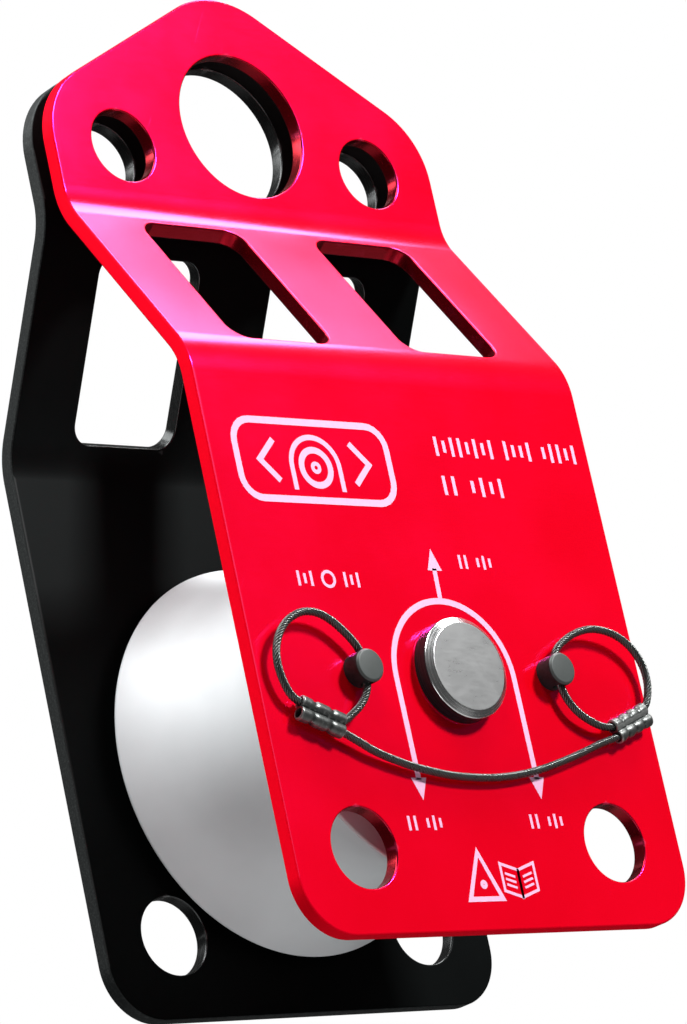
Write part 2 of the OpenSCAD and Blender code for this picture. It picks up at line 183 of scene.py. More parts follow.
def offset_loop(loop, distance):
    """A closed anticlockwise loop moved outward by a distance, corner by corner."""
    n = len(loop)
    moved = []
    for i in range(n):
        a, b, c = Vector(loop[i - 1]), Vector(loop[i]), Vector(loop[(i + 1) % n])
        n1 = Vector(((b - a).y, -(b - a).x)).normalized()
        n2 = Vector(((c - b).y, -(c - b).x)).normalized()
        mid = (n1 + n2).normalized()
        moved.append(tuple(b + mid * distance / max(0.5, mid.dot(n1))))
    return moved


def inside(point, loop):
    """True if a point lies inside a closed loop."""
    x, y = point
    hit = False
    for i in range(len(loop)):
        (x0, y0), (x1, y1) = loop[i - 1], loop[i]
        if (y0 > y) != (y1 > y) and x < (x1 - x0) * (y - y0) / (y1 - y0) + x0:
            hit = not hit
    return hit


def slab(outer, holes, thickness, edge_r):
    """A flat sheet in x and y, from z 0 to its thickness, with rounded edges all round.

    Every loop runs anticlockwise. The outline's wall has material 1 and the holes' walls
    have material 2.
    """
    bm = bmesh.new()
    quarter = [math.radians(a) for a in (0, 30, 60, 90)]
    near = [(2 * edge_r, 0.0)]
    near += [(edge_r * (1 - math.sin(a)), edge_r * (1 - math.cos(a))) for a in quarter]
    section = near + [(inset, thickness - z) for inset, z in reversed(near)]
    rims = {0: [], 1: []}
    for loop, sign in [(outer, -1)] + [(hole, 1) for hole in holes]:
        rows = []
        for inset, z in section:
            points = offset_loop(loop, sign * inset)
            rows.append([bm.verts.new((x, y, z)) for x, y in points])
        for row, following in zip(rows, rows[1:]):
            for i in range(len(row)):
                face = bm.faces.new((row[i - 1], row[i], following[i], following[i - 1]))
                face.material_index = 1 if sign < 0 else 2
        rims[0].append(rows[0])
        rims[1].append(rows[-1])
    flat = [[tuple(v.co.xy) for v in rim] for rim in rims[0]]
    verts = [Vector(p) for loop in flat for p in loop]
    edges, start = [], 0
    for loop in flat:
        n = len(loop)
        edges += [(start + i, start + (i + 1) % n) for i in range(n)]
        start += n
    found = delaunay_2d_cdt(verts, edges, [], 1, 1e-9)
    out_verts, out_faces, origin = found[0], found[2], found[3]
    for side in (0, 1):
        rim_verts = [v for rim in rims[side] for v in rim]
        for face in out_faces:
            middle = sum((out_verts[i] for i in face), Vector((0, 0))) / len(face)
            if any(inside(middle, hole) for hole in flat[1:]) or not inside(middle, flat[0]):
                continue
            bm.faces.new([rim_verts[origin[i][0]] for i in face])
    return bm


def filleted(points, steps=4):
    """Turns (r, y, fillet) corners into a smooth list of (r, y) points."""
    n = len(points)
    out = []
    for i, (r, y, fillet) in enumerate(points):
        here = Vector((r, y))
        if fillet == 0:
            out.append((r, y))
            continue
        before, after = Vector(points[i - 1][:2]), Vector(points[(i + 1) % n][:2])
        a = here + (before - here).normalized() * fillet
        b = here + (after - here).normalized() * fillet
        for k in range(steps + 1):
            t = k / steps
            p = a * (1 - t) ** 2 + here * 2 * t * (1 - t) + b * t * t
            out.append((p.x, p.y))
    return out


def lathe(profile, centre, segments=192, closed=False):
    """Turns a profile of (r, y) points about the line along Y through centre."""
    bm = bmesh.new()
    rings = []
    for r, y in profile:
        if r < 1e-7:
            rings.append([bm.verts.new((centre.x, y, centre.z))])
            continue
        ring = []
        for i in range(segments):
            a = 2 * math.pi * i / segments
            ring.append(bm.verts.new((centre.x + r * math.cos(a), y, centre.z + r * math.sin(a))))
        rings.append(ring)
    pairs = list(zip(rings, rings[1:])) + ([(rings[-1], rings[0])] if closed else [])
    for a, b in pairs:
        for i in range(segments):
            if len(a) == 1 and len(b) == 1:
                break
            if len(a) == 1:
                bm.faces.new((a[0], b[i - 1], b[i]))
            elif len(b) == 1:
                bm.faces.new((a[i - 1], b[0], a[i]))
            else:
                bm.faces.new((a[i - 1], b[i - 1], b[i], a[i]))
    return bm


def skin(bm, rings, looped=False):
    """Joins rings of equally many vertices into a closed surface. The last ring joins the
    first if looped, and otherwise both ends are capped."""
    pairs = list(zip(rings, rings[1:])) + ([(rings[-1], rings[0])] if looped else [])
    for p, q in pairs:
        for k in range(len(p)):
            bm.faces.new((p[k - 1], p[k], q[k], q[k - 1]))
    if not looped:
        bm.faces.new(rings[0])
        bm.faces.new(list(reversed(rings[-1])))


def add_drill(bm, place, radius, length, segments):
    """Adds a round bar, for cutting a hole, along the Z axis of a placement."""
    bmesh.ops.create_cone(bm, cap_ends=True, segments=segments, radius1=radius, radius2=radius,
                          depth=length, matrix=place)


def cut_with(bm, cutter):
    """Cuts one bmesh out of another and returns the result."""
    objects = []
    for part in (bm, cutter):
        bmesh.ops.recalc_face_normals(part, faces=part.faces)
        mesh = bpy.data.meshes.new("cut")
        part.to_mesh(mesh)
        part.free()
        obj = bpy.data.objects.new("cut", mesh)
        bpy.context.scene.collection.objects.link(obj)
        objects.append(obj)
    solid, tool = objects
    boolean = solid.modifiers.new("cut", "BOOLEAN")
    boolean.operation = "DIFFERENCE"
    boolean.solver = "EXACT"
    boolean.object = tool
    graph = bpy.context.evaluated_depsgraph_get()
    result = bmesh.new()
    result.from_object(solid, graph)
    for obj in objects:
        mesh = obj.data
        bpy.data.objects.remove(obj)
        bpy.data.meshes.remove(mesh)
    return result


# ---- Materials ----

# Sockets whose names aren't just the keyword with capitals.
SOCKETS = {"specular": "Specular IOR Level", "ior": "IOR"}


class Shader:
    """A Principled material whose nodes are added by short calls."""

    def __init__(self, name, **fixed):
        self.material = bpy.data.materials.new(name)
        self.material.use_nodes = True
        self.tree = self.material.node_tree
        self.bsdf = self.tree.nodes["Principled BSDF"]
        for key, value in fixed.items():
            socket = SOCKETS.get(key, key.replace("_", " ").title())
            self.bsdf.inputs[socket].default_value = value
        self.coords = self.node("ShaderNodeTexCoord").outputs["Object"]

    def node(self, kind, **settings):
        node = self.tree.nodes.new(kind)
        for key, value in settings.items():
            setattr(node, key, value)
        return node

    def link(self, a, b):
        self.tree.links.new(a, b)

    def put(self, socket, value):
        """Sets a node's input to a number or colour, or links it to another socket."""
        if isinstance(value, bpy.types.NodeSocket):
            self.link(value, socket)
        else:
            socket.default_value = value

    def math(self, operation, a, b=0.0):
        node = self.node("ShaderNodeMath", operation=operation)
        self.put(node.inputs[0], a)
        self.put(node.inputs[1], b)
        return node.outputs[0]

    def stretched(self, x, y, z, turn=(0, 0, 0), about=(0, 0, 0)):
        """Object coordinates scaled along each axis, for grain that runs one way."""
        node = self.node("ShaderNodeMapping", vector_type="TEXTURE")
        node.inputs["Scale"].default_value = (1 / x, 1 / y, 1 / z)
        node.inputs["Rotation"].default_value = turn
        node.inputs["Location"].default_value = about
        self.link(self.coords, node.inputs["Vector"])
        return node.outputs[0]

    def noise(self, scale, detail=3.0, roughness=0.5, vector=None):
        node = self.node("ShaderNodeTexNoise")
        node.inputs["Scale"].default_value = scale
        node.inputs["Detail"].default_value = detail
        node.inputs["Roughness"].default_value = roughness
        self.link(vector or self.coords, node.inputs["Vector"])
        return node.outputs["Fac"]

    def turned(self, centre, scale, detail=2.0):
        """Fine lines round the Y axis through centre, as a lathe leaves them."""
        split = self.node("ShaderNodeSeparateXYZ")
        self.link(self.coords, split.inputs[0])
        dx = self.math("SUBTRACT", split.outputs[0], centre[0])
        dz = self.math("SUBTRACT", split.outputs[2], centre[2])
        squares = self.math("ADD", self.math("MULTIPLY", dx, dx), self.math("MULTIPLY", dz, dz))
        radius = self.math("SQRT", squares)
        line = self.node("ShaderNodeTexNoise", noise_dimensions="1D")
        self.link(self.math("ADD", radius, split.outputs[1]), line.inputs["W"])
        line.inputs["Scale"].default_value = scale
        line.inputs["Detail"].default_value = detail
        return line.outputs["Fac"]

    def ramp(self, value, low, high, a=0.0, b=1.0):
        """Maps a value from low..high to a..b, clamped."""
        node = self.node("ShaderNodeMapRange")
        self.put(node.inputs["Value"], value)
        node.inputs["From Min"].default_value = low
        node.inputs["From Max"].default_value = high
        node.inputs["To Min"].default_value = a
        node.inputs["To Max"].default_value = b
        return node.outputs[0]

    def mix(self, share, a, b):
        node = self.node("ShaderNodeMix", data_type="RGBA")
        self.put(node.inputs[0], share)
        self.put(node.inputs[6], a)
        self.put(node.inputs[7], b)
        return node.outputs[2]

    def pointed(self, low, high):
        """0 on flat ground and 1 on a sharp outer edge."""
        pointiness = self.node("ShaderNodeNewGeometry").outputs["Pointiness"]
        return self.ramp(pointiness, low, high)

    def bump(self, height, strength, distance):
        node = self.node("ShaderNodeBump")
        node.inputs["Strength"].default_value = strength
        node.inputs["Distance"].default_value = distance
        self.link(height, node.inputs["Height"])
        before = self.bsdf.inputs["Normal"]
        if before.is_linked:
            self.link(before.links[0].from_socket, node.inputs["Normal"])
        self.link(node.outputs[0], self.bsdf.inputs["Normal"])

    def color(self, socket):
        self.link(socket, self.bsdf.inputs["Base Color"])

    def rough(self, socket):
        self.link(socket, self.bsdf.inputs["Roughness"])


def rgb(r, g, b):
    return (r, g, b, 1.0)


def anodised(name, base, deep, worn, metallic, roughness, specular, ior, tint):
    """Dyed anodised sheet: rolling grain, faint handling scratches and paler edges.
    The tint is what the dye leaves of a bright reflection."""
    s = Shader(name, metallic=metallic, specular=specular, ior=ior, specular_tint=tint)
    cloud = s.noise(35, 3)
    grain = s.noise(1.0, 4, 0.6, s.stretched(260, 2600, 2600))
    long_way = s.stretched(900, 900, 45, (0, 0.5, 0))
    scratches = s.ramp(s.noise(1.0, 5, 0.7, long_way), 0.66, 0.74)
    specks = s.ramp(s.noise(2600, 2), 0.70, 0.78)
    dyed = s.mix(s.ramp(cloud, 0.3, 0.75), deep, base)
    marks = s.math("MAXIMUM", s.math("MULTIPLY", scratches, 0.05),
                   s.math("MULTIPLY", specks, 0.08))
    edge = s.pointed(0.53, 0.62)
    s.color(s.mix(s.math("MAXIMUM", marks, s.math("MULTIPLY", edge, 0.55)), dyed, worn))
    fine = s.math("ADD", s.math("MULTIPLY", grain, 0.04), s.math("MULTIPLY", scratches, 0.06))
    s.rough(s.math("ADD", s.ramp(cloud, 0.2, 0.8, roughness - 0.03, roughness + 0.03), fine))
    s.bump(grain, 0.10, 0.02 * MM)
    s.bump(s.noise(5200, 2), 0.10, 0.01 * MM)
    return s.material


def sheared_edge(name, base, worn, roughness, specular, tint):
    """A sheet's cut edge: torn grain along the thickness, dyed with the rest."""
    s = Shader(name, metallic=0.2, specular=specular, specular_tint=tint)
    torn = s.noise(1900, 4, 0.7)
    pits = s.noise(650, 4, 0.65)
    s.color(s.mix(s.ramp(torn, 0.48, 0.72), base, worn))
    s.rough(s.ramp(pits, 0.3, 0.7, roughness - 0.1, roughness + 0.12))
    s.bump(pits, 0.35, 0.10 * MM)
    s.bump(torn, 0.30, 0.04 * MM)
    return s.material


def bored_wall(name, base, worn, roughness):
    """A machined hole's wall: smooth dyed metal with faint tool marks and a worn rim. For the
    red plate its base is a far darker red than the face, a painted shade.
    """
    s = Shader(name, metallic=0.85)
    marks = s.noise(1.0, 4, 0.6, s.stretched(500, 3800, 500))
    cloud = s.noise(180, 3)
    bare = s.math("MAXIMUM", s.pointed(0.52, 0.60), s.ramp(cloud, 0.6, 0.9, 0.0, 0.3))
    s.color(s.mix(bare, base, worn))
    s.rough(s.ramp(marks, 0.3, 0.7, roughness - 0.05, roughness + 0.06))
    s.bump(marks, 0.25, 0.010 * MM)
    return s.material


def turned_metal(name, base, roughness, centre, lines, depth, dirt=0.12, metallic=1.0, specular=0.5):
    """Machined metal with fine lines round its own axis and slight stains. The lines'
    depth is in millimetres."""
    s = Shader(name, metallic=metallic, specular=specular)
    line = s.turned(centre, lines)
    stain = s.noise(160, 4, 0.6)
    dark = tuple(c * (1 - dirt * 2) for c in base[:3]) + (1.0,)
    s.color(s.mix(s.ramp(stain, 0.35, 0.75, 0.0, 0.8), base, dark))
    s.rough(s.math("ADD", s.ramp(line, 0.3, 0.7, roughness - 0.05, roughness + 0.05),
                   s.ramp(stain, 0.3, 0.8, 0.0, 0.10)))
    s.bump(line, 0.35, depth * MM)
    s.bump(s.noise(4200, 2), 0.10, 0.006 * MM)
    return s.material


def blasted_metal(name, base, roughness, centre):
    """Fine bead-blasted aluminium over faint turning lines, polished a little by the rope."""
    s = Shader(name, metallic=0.15, specular=0.4)
    fine = s.noise(5200, 3, 0.6)
    line = s.turned(centre, 900, 3)
    cloud = s.noise(40, 3)
    shade = tuple(c * 0.90 for c in base[:3]) + (1.0,)
    s.color(s.mix(s.ramp(cloud, 0.3, 0.7), base, shade))
    s.rough(s.math("ADD", s.ramp(cloud, 0.3, 0.7, roughness - 0.03, roughness + 0.03),
                   s.ramp(fine, 0.3, 0.7, -0.03, 0.03)))
    s.bump(fine, 0.25, 0.012 * MM)
    s.bump(line, 0.10, 0.010 * MM)
    return s.material


def brushed_metal(name, base, roughness, stretch, depth=0.010, dirt=0.20, vary=0.06):
    """Metal with straight brush marks, whose depth is in millimetres."""
    s = Shader(name, metallic=1.0)
    brush = s.noise(1.0, 4, 0.6, s.stretched(*stretch))
    stain = s.noise(230, 4, 0.6)
    dark = tuple(c * (1 - dirt) for c in base[:3]) + (1.0,)
    s.color(s.mix(s.ramp(stain, 0.40, 0.80, 0.0, 0.7), base, dark))
    s.rough(s.math("ADD", s.ramp(brush, 0.3, 0.7, roughness - vary, roughness + vary),
                   s.ramp(stain, 0.4, 0.8, 0.0, dirt * 0.5)))
    s.bump(brush, 0.30, depth * MM)
    return s.material


def metal_with_wear_and_highlight(name, base, worn, roughness, scale, metallic):
    """Cast or drawn metal with dents and random pale flecks. Raised spots and strand crowns
    are painted pale, partly wear and partly painted highlight, which leaves the hollows darker.
    """
    s = Shader(name, metallic=metallic)
    grime = s.noise(scale, 5, 0.65)
    # pale raised spots: partly wear, partly painted highlight
    high = s.pointed(0.50, 0.60)
    s.color(s.mix(s.math("MAXIMUM", s.ramp(grime, 0.5, 0.8), high), base, worn))
    s.rough(s.ramp(grime, 0.3, 0.7, roughness + 0.08, roughness - 0.06))
    s.bump(grime, 0.30, 0.03 * MM)
    s.bump(s.noise(scale * 8, 3), 0.15, 0.008 * MM)
    return s.material


def matt(name, base, other, roughness, scale, specular=0.4):
    """Rubber, ink, and the near-black painted shade on the pins' head sides: a fine uneven skin
    that is not a metal mirror.
    """
    s = Shader(name, metallic=0.0, specular=specular)
    skin = s.noise(scale, 4, 0.6)
    s.color(s.mix(s.ramp(skin, 0.35, 0.70), base, other))
    s.rough(s.ramp(skin, 0.3, 0.7, roughness - 0.06, roughness + 0.06))
    s.bump(skin, 0.2, 0.01 * MM)
    return s.material


AXLE_CENTRE = on_axle(0, 0, 0)
BLUISH = rgb(0.9, 1.0, 1.0)
RED = anodised("red_anodised", rgb(0.95, 0.000, 0.006), rgb(0.88, 0.000, 0.004), rgb(1.0, 0.05, 0.14),
               metallic=0.15, roughness=0.15, specular=0.85, ior=1.75, tint=rgb(1.0, 0.01, 1.0))
RED_EDGE = sheared_edge("red_edge", rgb(0.88, 0.000, 0.010), rgb(0.95, 0.000, 0.014),
                        roughness=0.55, specular=0.03, tint=rgb(1.0, 0.06, 1.0))
# The red plate's hole walls are a far darker red than its face: a painted shade.
RED_BORE_SHADE = bored_wall("red_bore_shade", rgb(0.34, 0.000, 0.010), rgb(1.0, 0.05, 0.16), 0.22)
BLACK = anodised("black_anodised", rgb(0.0025, 0.003, 0.003), rgb(0.0015, 0.002, 0.002),
                 rgb(0.05, 0.053, 0.053), metallic=0.0, roughness=0.42, specular=0.045, ior=1.5,
                 tint=BLUISH)
BLACK_EDGE = sheared_edge("black_edge", rgb(0.006, 0.0065, 0.0065), rgb(0.034, 0.037, 0.037),
                          roughness=0.60, specular=0.3, tint=BLUISH)
BLACK_BORE = bored_wall("black_bore", rgb(0.030, 0.032, 0.032), rgb(0.20, 0.21, 0.21), 0.26)
SILVER = blasted_metal("sheave_silver", rgb(0.77, 0.815, 0.83), 0.55, AXLE_CENTRE)
AXLE_STEEL = brushed_metal("axle_steel", rgb(0.74, 0.75, 0.75), 0.28, (300, 1500, 1500),
                           depth=0.0001, dirt=0.05, vary=0.010)
CHAMFER_STEEL = turned_metal("chamfer_steel", rgb(0.84, 0.85, 0.85), 0.20, AXLE_CENTRE,
                             lines=3000, depth=0.0002, dirt=0.03)
# Near-black round side of the axle head and the collar: a painted shade.
SHADED_SIDE_STEEL = turned_metal("shaded_side_steel", rgb(0.010, 0.014, 0.015), 0.24, AXLE_CENTRE,
                           lines=3000, depth=0.003, dirt=0.2, metallic=0.0, specular=0.16)
BEARING_STEEL = turned_metal("bearing_steel", rgb(0.62, 0.63, 0.65), 0.18, AXLE_CENTRE,
                             lines=3600, depth=0.004, dirt=0.06)
BALL_STEEL = turned_metal("ball_steel", rgb(0.80, 0.81, 0.82), 0.08, AXLE_CENTRE,
                          lines=4000, depth=0.001, dirt=0.03)
SPRING_STEEL = brushed_metal("spring_steel", rgb(0.18, 0.18, 0.19), 0.38, (900, 900, 900))
BRONZE = turned_metal("bronze", rgb(0.55, 0.36, 0.17), 0.34, AXLE_CENTRE, lines=2400, depth=0.010)
CAGE_BRASS = turned_metal("cage_brass", rgb(0.70, 0.53, 0.24), 0.30, AXLE_CENTRE,
                          lines=2400, depth=0.008)
RUBBER = matt("black_rubber", rgb(0.018, 0.018, 0.018), rgb(0.035, 0.035, 0.034), 0.62, 1500)
# The pale second colour of the wire and the ferrules is on their raised spots: partly wear, partly
# painted highlight.
WIRE = metal_with_wear_and_highlight("wire_rope", rgb(0.030, 0.034, 0.034), rgb(0.12, 0.13, 0.125), 0.28, 500, 0.8)
FERRULE = metal_with_wear_and_highlight("ferrule_metal", rgb(0.045, 0.050, 0.048), rgb(0.40, 0.41, 0.40), 0.36, 1100, 0.75)
INK = matt("white_ink", rgb(0.82, 0.44, 0.66), rgb(0.86, 0.50, 0.71), 0.60, 900)
# Near-black round sides of the pin heads: a painted shade.
PIN_SIDE_SHADE = matt("pin_side_shade", rgb(0.010, 0.013, 0.013), rgb(0.022, 0.026, 0.026), 0.42, 1400, 0.14)


def pin_steel(name, side):
    """A lock pin's face, turned about the pin's own axis."""
    return turned_metal(name, rgb(0.080, 0.090, 0.087), 0.36, on_axle(side * PIN_X, 0, 0), lines=5200,
                        depth=0.002, dirt=0.2, metallic=0.15, specular=0.4)


# ---- Side plates ----

BEND_STEPS = 16


def bent(s, w):
    """Where a point of the flat sheet goes: its distance from the middle plane and its
    height above the axle. s runs along the sheet and w is the depth below the outer face."""
    if s < S1:
        return CHEEK_OUT - w, s
    if s < S3:
        a = LEAN * min(1.0, (s - S1) / BEND_L)
        r = BEND_R + SHEET_T - w
        along = max(0.0, s - S2)
        return (
            CHEEK_IN - BEND_R + r * math.cos(a) - along * math.sin(LEAN),
            S1 + r * math.sin(a) + along * math.cos(LEAN),
        )
    if s < S4:
        a = LEAN * (1 - (s - S3) / BEND_L)
        r = BEND_R + w
        return HEAD_OUT + BEND_R - r * math.cos(a), HEAD_FLAT - r * math.sin(a)
    return HEAD_OUT - w, HEAD_FLAT + s - S4


def flat_normal(v):
    """The shading normal of a vertex of the flat sheet: square to the sheet wherever it
    touches a flat face, and the mean of its faces on the rounded edges."""
    for part in v.link_faces:
        if abs(part.normal.z) > 0.9999:
            return part.normal.copy()
    return sum((part.normal * part.calc_area() for part in v.link_faces), Vector()).normalized()


def bent_normal(s, w, normal, side):
    """The same normal once the sheet is bent."""
    step = 0.01 * MM
    (y0, z0), (y1, z1) = bent(s - step, w), bent(s + step, w)
    along = Vector((0, y1 - y0, z1 - z0)).normalized()
    (y0, z0), (y1, z1) = bent(s, w - step), bent(s, w + step)
    inward = Vector((0, y1 - y0, z1 - z0)).normalized()
    turned = Vector((normal.x, 0, 0)) + along * normal.y + inward * normal.z
    return Vector((turned.x, side * turned.y, turned.z)).normalized()


def on_head(z):
    """The station along the flat sheet of a height in the head, above the axle."""
    return z - HEAD_FLAT + S4


def plate_outline():
    """The flat sheet's outline, anticlockwise, as x and the station along the sheet."""
    eye = MOUNTS["right_side_eye"]["pos_m"]
    side_x, side_s = eye[0], on_head(eye[2] - AXLE_Z)
    peak_s = on_head(PLATE_TOP) - PEAK_R
    run = math.hypot(side_x, peak_s - side_s)
    slope = math.degrees(math.acos((PEAK_R - SHOULDER_R) / run) - math.atan2(peak_s - side_s, side_x))
    low = PLATE_BOTTOM + CORNER_R
    return (
        arc(HALF_W - CORNER_R, low, CORNER_R, -90, 0)
        + arc(side_x, side_s, SHOULDER_R, 0, slope)
        + arc(0, peak_s, PEAK_R, slope, 180 - slope)
        + arc(-side_x, side_s, SHOULDER_R, 180 - slope, 180)
        + arc(CORNER_R - HALF_W, low, CORNER_R, 180, 270)
    )


def window(side):
    """One window's outline on the leaning part."""
    cx, cs = side * WINDOW_X, S2 + LEAN_L / 2 - LOW_TANGENT
    dx, ds = WINDOW_W / 2 - WINDOW_R, WINDOW_L / 2 - WINDOW_R
    corners = [(dx, -ds, -90), (dx, ds, 0), (-dx, ds, 90), (-dx, -ds, 180)]
    return [p for x, s, a in corners for p in arc(cx + x, cs + s, WINDOW_R, a, a + 90, 6)]


def mount_hole(name, station):
    """A mount's hole in the flat sheet. station turns its height into a place along the sheet."""
    mount = MOUNTS[name]
    x, z = mount["pos_m"][0], mount["pos_m"][2] - AXLE_Z
    return circle(x, station(z), mount["dims"]["r_mm"] * MM)


def side_plate(name, side, materials, extra_holes=()):
    """One bent side plate, with every edge rounded as tumbling leaves it."""
    feet = "front" if side == FRONT else "rear"
    holes = [
        mount_hole("carabiner_eye", on_head),
        mount_hole("left_side_eye", on_head),
        mount_hole("right_side_eye", on_head),
        mount_hole(feet + "_left_foot_hole", lambda z: z),
        mount_hole(feet + "_right_foot_hole", lambda z: z),
        window(LEFT),
        window(RIGHT),
        circle(0, 0, BUSH_R, 64),
        *extra_holes,
    ]
    bm = slab(plate_outline(), holes, SHEET_T, EDGE_R)
    for start in (S1, S3):
        for i in range(BEND_STEPS + 1):
            cut = (0, start + BEND_L * i / BEND_STEPS, 0)
            geometry = bm.verts[:] + bm.edges[:] + bm.faces[:]
            bmesh.ops.bisect_plane(bm, geom=geometry, dist=1e-7, plane_co=cut, plane_no=(0, 1, 0))
    bmesh.ops.recalc_face_normals(bm, faces=bm.faces)
    bm.normal_update()
    for part in bm.faces:
        if abs(part.normal.z) > 0.75:
            part.material_index = 0
    normals = [bent_normal(v.co.y, v.co.z, flat_normal(v), side) for v in bm.verts]
    for v in bm.verts:
        y, z = bent(v.co.y, v.co.z)
        v.co = on_axle(v.co.x, side * y, z)
    return finish_piece(name + "_sheet", bm, materials, name, [name], normals=normals)


# ---- Sheave, axle and pins ----


def sheave():
    """The silver wheel with its concave tread, side recesses and lock holes."""
    tread_half = SHEAVE_HALF - RIM_LAND
    rise = RIM_R - TREAD_R
    arc_r = (tread_half**2 + rise**2) / (2 * rise)
    steps = 64
    tread = []
    for i in range(1, steps):
        y = -tread_half + 2 * tread_half * i / steps
        tread.append((TREAD_R + arc_r - math.sqrt(arc_r**2 - y**2), y, 0))
    # one end, as radius, distance from the middle and fillet in millimetres: the bearing's
    # seat with its circlip groove, the hub's end, and the recess under the rim
    side = [
        (17.5, 14, 0.2), (20, 14, 0.2),
        (20, 26, 0.1), (21.1, 26, 0.1), (21.1, 27.5, 0.1), (20, 27.5, 0.1),
        (20, 29, 0.4), (24.5, 29, 0.5),
        (24.5, 20, 0.8), (36, 20, 0.8), (36, 29, 0.5),
    ]
    front_half = [(r * MM, -y * MM, f * MM) for r, y, f in side]
    rear_half = [(r * MM, y * MM, f * MM) for r, y, f in reversed(side)]
    rim = [(RIM_R, -SHEAVE_HALF, 0.7 * MM), (RIM_R, -tread_half, 0.25 * MM)]
    rim_rear = [(r, -y, f) for r, y, f in reversed(rim)]
    profile = filleted(front_half + rim + tread + rim_rear + rear_half)
    bm = lathe(profile, AXLE_CENTRE, 256, closed=True)
    holes = bmesh.new()
    for i in range(LOCK_HOLES):
        a = math.radians(360 / LOCK_HOLES * i)
        centre = on_axle(PIN_X * math.cos(a), LOCK_HOLE_Y, PIN_X * math.sin(a))
        place = Matrix.Translation(centre) @ Matrix.Rotation(math.pi / 2, 4, "X")
        add_drill(holes, place, LOCK_HOLE_R, LOCK_HOLE_L, 32)
    bm = cut_with(bm, holes)
    return finish_piece("sheave_wheel", bm, [SILVER], "sheave", ["sheave"])


CHAMFER_W = 1.7 * MM
CHAMFER_L = 1.19 * MM


def head_profile(base_y, face_y):
    """The chamfered head's corners, from its rim at the plate to the chamfer's inner edge."""
    sign = 1 if face_y > base_y else -1
    return [
        (AXLE_HEAD_R, base_y, 0.25 * MM),
        (AXLE_HEAD_R, face_y - sign * CHAMFER_L, 0.35 * MM),
        (AXLE_HEAD_R - CHAMFER_W, face_y, 0.15 * MM),
    ]


def headed_piece(name, bm, node):
    """Makes a piece of the axle or its collar. The head's round side is painted near black,
    a painted shade, and its chamfer has a smoother finish than its face."""
    bm.normal_update()
    for part in bm.faces:
        out = part.calc_center_median() - AXLE_CENTRE
        r, lie = math.hypot(out.x, out.z), abs(part.normal.y)
        # the round side gets the near-black painted shade
        if r > AXLE_HEAD_R - 0.3 * MM and lie < 0.4:
            part.material_index = 1
        elif r > AXLE_HEAD_R - CHAMFER_W - 0.2 * MM and 0.4 <= lie < 0.97:
            part.material_index = 2
    steels = [AXLE_STEEL, SHADED_SIDE_STEEL, CHAMFER_STEEL]
    return finish_piece(name, bm, steels, "axle", [node])


def axle():
    """The axle with its round front head and its plain rear end inside the collar."""
    base_y = COLLAR_LOW.y
    profile = [
        (0, -AXLE_FACE_Y, 0), *reversed(head_profile(-base_y, -AXLE_FACE_Y)),
        (AXLE_R, -base_y, 0.2 * MM), (AXLE_R, AXLE_FACE_Y, 0.5 * MM), (0, AXLE_FACE_Y, 0),
    ]
    return headed_piece("axle_shaft", lathe(filleted(profile), AXLE_CENTRE), "axle")


def rear_collar():
    """The chamfered collar that holds the axle behind the rear plate."""
    profile = [
        (AXLE_R, COLLAR_LOW.y, 0.2 * MM), *head_profile(COLLAR_LOW.y, COLLAR_HIGH.y),
        (AXLE_R, COLLAR_HIGH.y, 0.35 * MM),
    ]
    bm = lathe(filleted(profile), AXLE_CENTRE, closed=True)
    return headed_piece("rear_collar", bm, "axle_rear_collar")


def lock_pin(name, side):
    """A lock pin: a round head with a cross hole for the wire, and a thinner shank with a
    groove for its grip ring. The head's side is painted near black, a painted shade, so its
    face is paler."""
    centre = on_axle(side * PIN_X, 0, 0)
    face_y, base_y, tip_y = PIN_LOW.y, -CHEEK_OUT, PIN_HIGH.y
    groove_y, groove_half, groove_r = -(CHEEK_OUT + CHEEK_IN) / 2, 1.0 * MM, 2 * MM
    head_cut, tip_cut = 0.5 * MM, 0.8 * MM
    profile = [
        (0, face_y, 0), (PIN_HEAD_R - head_cut, face_y, 0.15 * MM),
        (PIN_HEAD_R, face_y + head_cut, 0.2 * MM),
        (PIN_HEAD_R, base_y, 0.2 * MM), (PIN_SHANK_R, base_y, 0.1 * MM),
        (PIN_SHANK_R, groove_y - groove_half, 0.1 * MM), (groove_r, groove_y - groove_half, 0.1 * MM),
        (groove_r, groove_y + groove_half, 0.1 * MM), (PIN_SHANK_R, groove_y + groove_half, 0.1 * MM),
        (PIN_SHANK_R, tip_y - tip_cut, 0.2 * MM), (PIN_SHANK_R - tip_cut, tip_y, 0.2 * MM), (0, tip_y, 0),
    ]
    bm = lathe(filleted(profile, 3), centre, 96)
    hole = bmesh.new()
    place = Matrix.Translation(on_axle(side * PIN_X, -CHEEK_OUT - PIN_WIRE_H, 0))
    add_drill(hole, place, PIN_CROSS_R, 12 * MM, 48)
    bm = cut_with(bm, hole)
    bm.normal_update()
    # the round side gets the near-black painted shade
    for part in bm.faces:
        part.material_index = 0 if abs(part.normal.y) > 0.6 else 1
    body = "left_pin" if side == LEFT else "right_pin"
    steels = [pin_steel(name + "_steel", side), PIN_SIDE_SHADE]
    return finish_piece(name + "_turned", bm, steels, body, [name])


# ---- Wire lanyard ----

STRANDS = 8
STRAND_R = 0.27 * MM
LAY = 7.2 * MM
UPPER, LOWER = 1, -1

# Each ferrule's middle from the axle in millimetres, and its turn in degrees.
LEFT_FERRULE = (-45.9, -11.6, -21)
RIGHT_FERRULE = (50.6, -12.6, 21)

